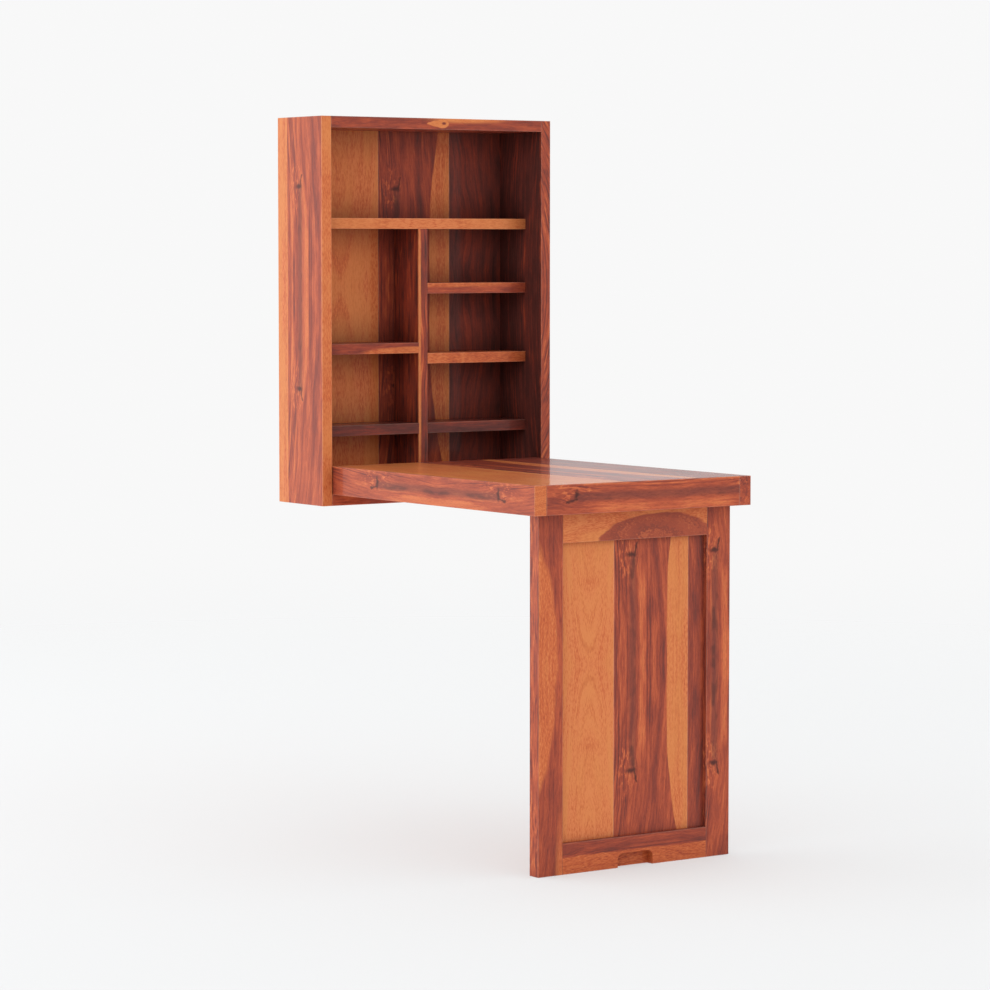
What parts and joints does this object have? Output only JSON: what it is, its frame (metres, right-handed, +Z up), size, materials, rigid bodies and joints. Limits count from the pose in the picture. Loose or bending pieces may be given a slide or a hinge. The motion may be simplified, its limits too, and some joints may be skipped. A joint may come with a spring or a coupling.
{
  "type": "floating study table",
  "caption": "Wall-hung solid-wood cabinet with open shelves, a tray-shaped desk that folds up into it on pivot pins, and a framed leg panel hinged behind the desk's apron.",
  "frame": {"origin": "on the floor, under the middle of the box round the whole table with its desk open", "axes": "+X along the wall, +Y towards the wall, +Z up"},
  "size_m": [0.579, 0.892, 1.485],
  "materials": {
    "left_side_board": "gloss",
    "right_side_board": "gloss",
    "cabinet_top_board": "gloss",
    "cabinet_bottom_board": "gloss",
    "upper_shelf": "gloss",
    "divider_board": "gloss",
    "left_middle_shelf": "gloss",
    "left_lower_shelf": "gloss",
    "right_upper_shelf": "gloss",
    "right_middle_shelf": "gloss",
    "right_lower_shelf": "gloss",
    "back_plank_left": "gloss",
    "back_plank_middle": "gloss",
    "back_plank_right": "gloss",
    "hanging_rail_lower": "gloss",
    "hanging_rail_upper": "gloss",
    "zinc_steel": "satin",
    "dowel_wood": "matte",
    "bush_brass": "satin",
    "desk_left_rail": "gloss",
    "desk_right_rail": "gloss",
    "desk_apron": "gloss",
    "desk_plank_left": "gloss",
    "desk_plank_middle": "gloss",
    "desk_plank_right": "gloss",
    "hinge_steel": "satin",
    "leg_left_stile": "gloss",
    "leg_right_stile": "gloss",
    "leg_top_rail": "gloss",
    "leg_bottom_rail": "gloss",
    "leg_plank_left": "gloss",
    "leg_plank_middle": "gloss",
    "leg_plank_right": "gloss"
  },
  "bodies": {
    "cabinet": {"left_side_board": "left_side_board", "right_side_board": "right_side_board", "cabinet_top_board": "cabinet_top_board", "cabinet_bottom_board": "cabinet_bottom_board", "upper_shelf": "upper_shelf", "divider_board": "divider_board", "left_middle_shelf": "left_middle_shelf", "left_lower_shelf": "left_lower_shelf", "right_upper_shelf": "right_upper_shelf", "right_middle_shelf": "right_middle_shelf", "right_lower_shelf": "right_lower_shelf", "back_plank_left": "back_plank_left", "back_plank_middle": "back_plank_middle", "back_plank_right": "back_plank_right", "hanging_rail_lower": "hanging_rail_lower", "hanging_rail_upper": "hanging_rail_upper", "keyhole_plates": "zinc_steel", "keyhole_plate_screws": "zinc_steel", "carcass_dowels": "dowel_wood", "pivot_bush_left": "bush_brass", "pivot_bush_right": "bush_brass"},
    "desk": {"desk_left_rail": "desk_left_rail", "desk_right_rail": "desk_right_rail", "desk_apron": "desk_apron", "desk_plank_left": "desk_plank_left", "desk_plank_middle": "desk_plank_middle", "desk_plank_right": "desk_plank_right", "apron_dowels": "dowel_wood", "pivot_pin_left": "zinc_steel", "pivot_pin_right": "zinc_steel", "pivot_washer_left": "zinc_steel", "pivot_washer_right": "zinc_steel", "apron_hinge_leaf_left": "hinge_steel", "apron_hinge_leaf_right": "hinge_steel", "leg_hinge_pin_left": "zinc_steel", "leg_hinge_pin_right": "zinc_steel", "apron_leaf_screws": "zinc_steel"},
    "leg": {"leg_left_stile": "leg_left_stile", "leg_right_stile": "leg_right_stile", "leg_top_rail": "leg_top_rail", "leg_bottom_rail": "leg_bottom_rail", "leg_plank_left": "leg_plank_left", "leg_plank_middle": "leg_plank_middle", "leg_plank_right": "leg_plank_right", "leg_hinge_leaf_left": "hinge_steel", "leg_hinge_leaf_right": "hinge_steel", "leg_leaf_screws": "zinc_steel"}
  },
  "joints": [
    {"name": "desk_hinge", "type": "hinge", "parent": "cabinet", "child": "desk", "pos_m": [0, 0.285, 0.7155], "axis": [-1, 0, 0], "range_deg": [0, 90]},
    {"name": "leg_hinge", "type": "hinge", "parent": "desk", "child": "leg", "pos_m": [0, -0.4166, 0.709], "axis": [1, 0, 0], "range_deg": [0, 90]}
  ],
  "couplings": [
    {"joint": "leg_hinge", "follows": "desk_hinge", "ratio": 1}
  ]
}
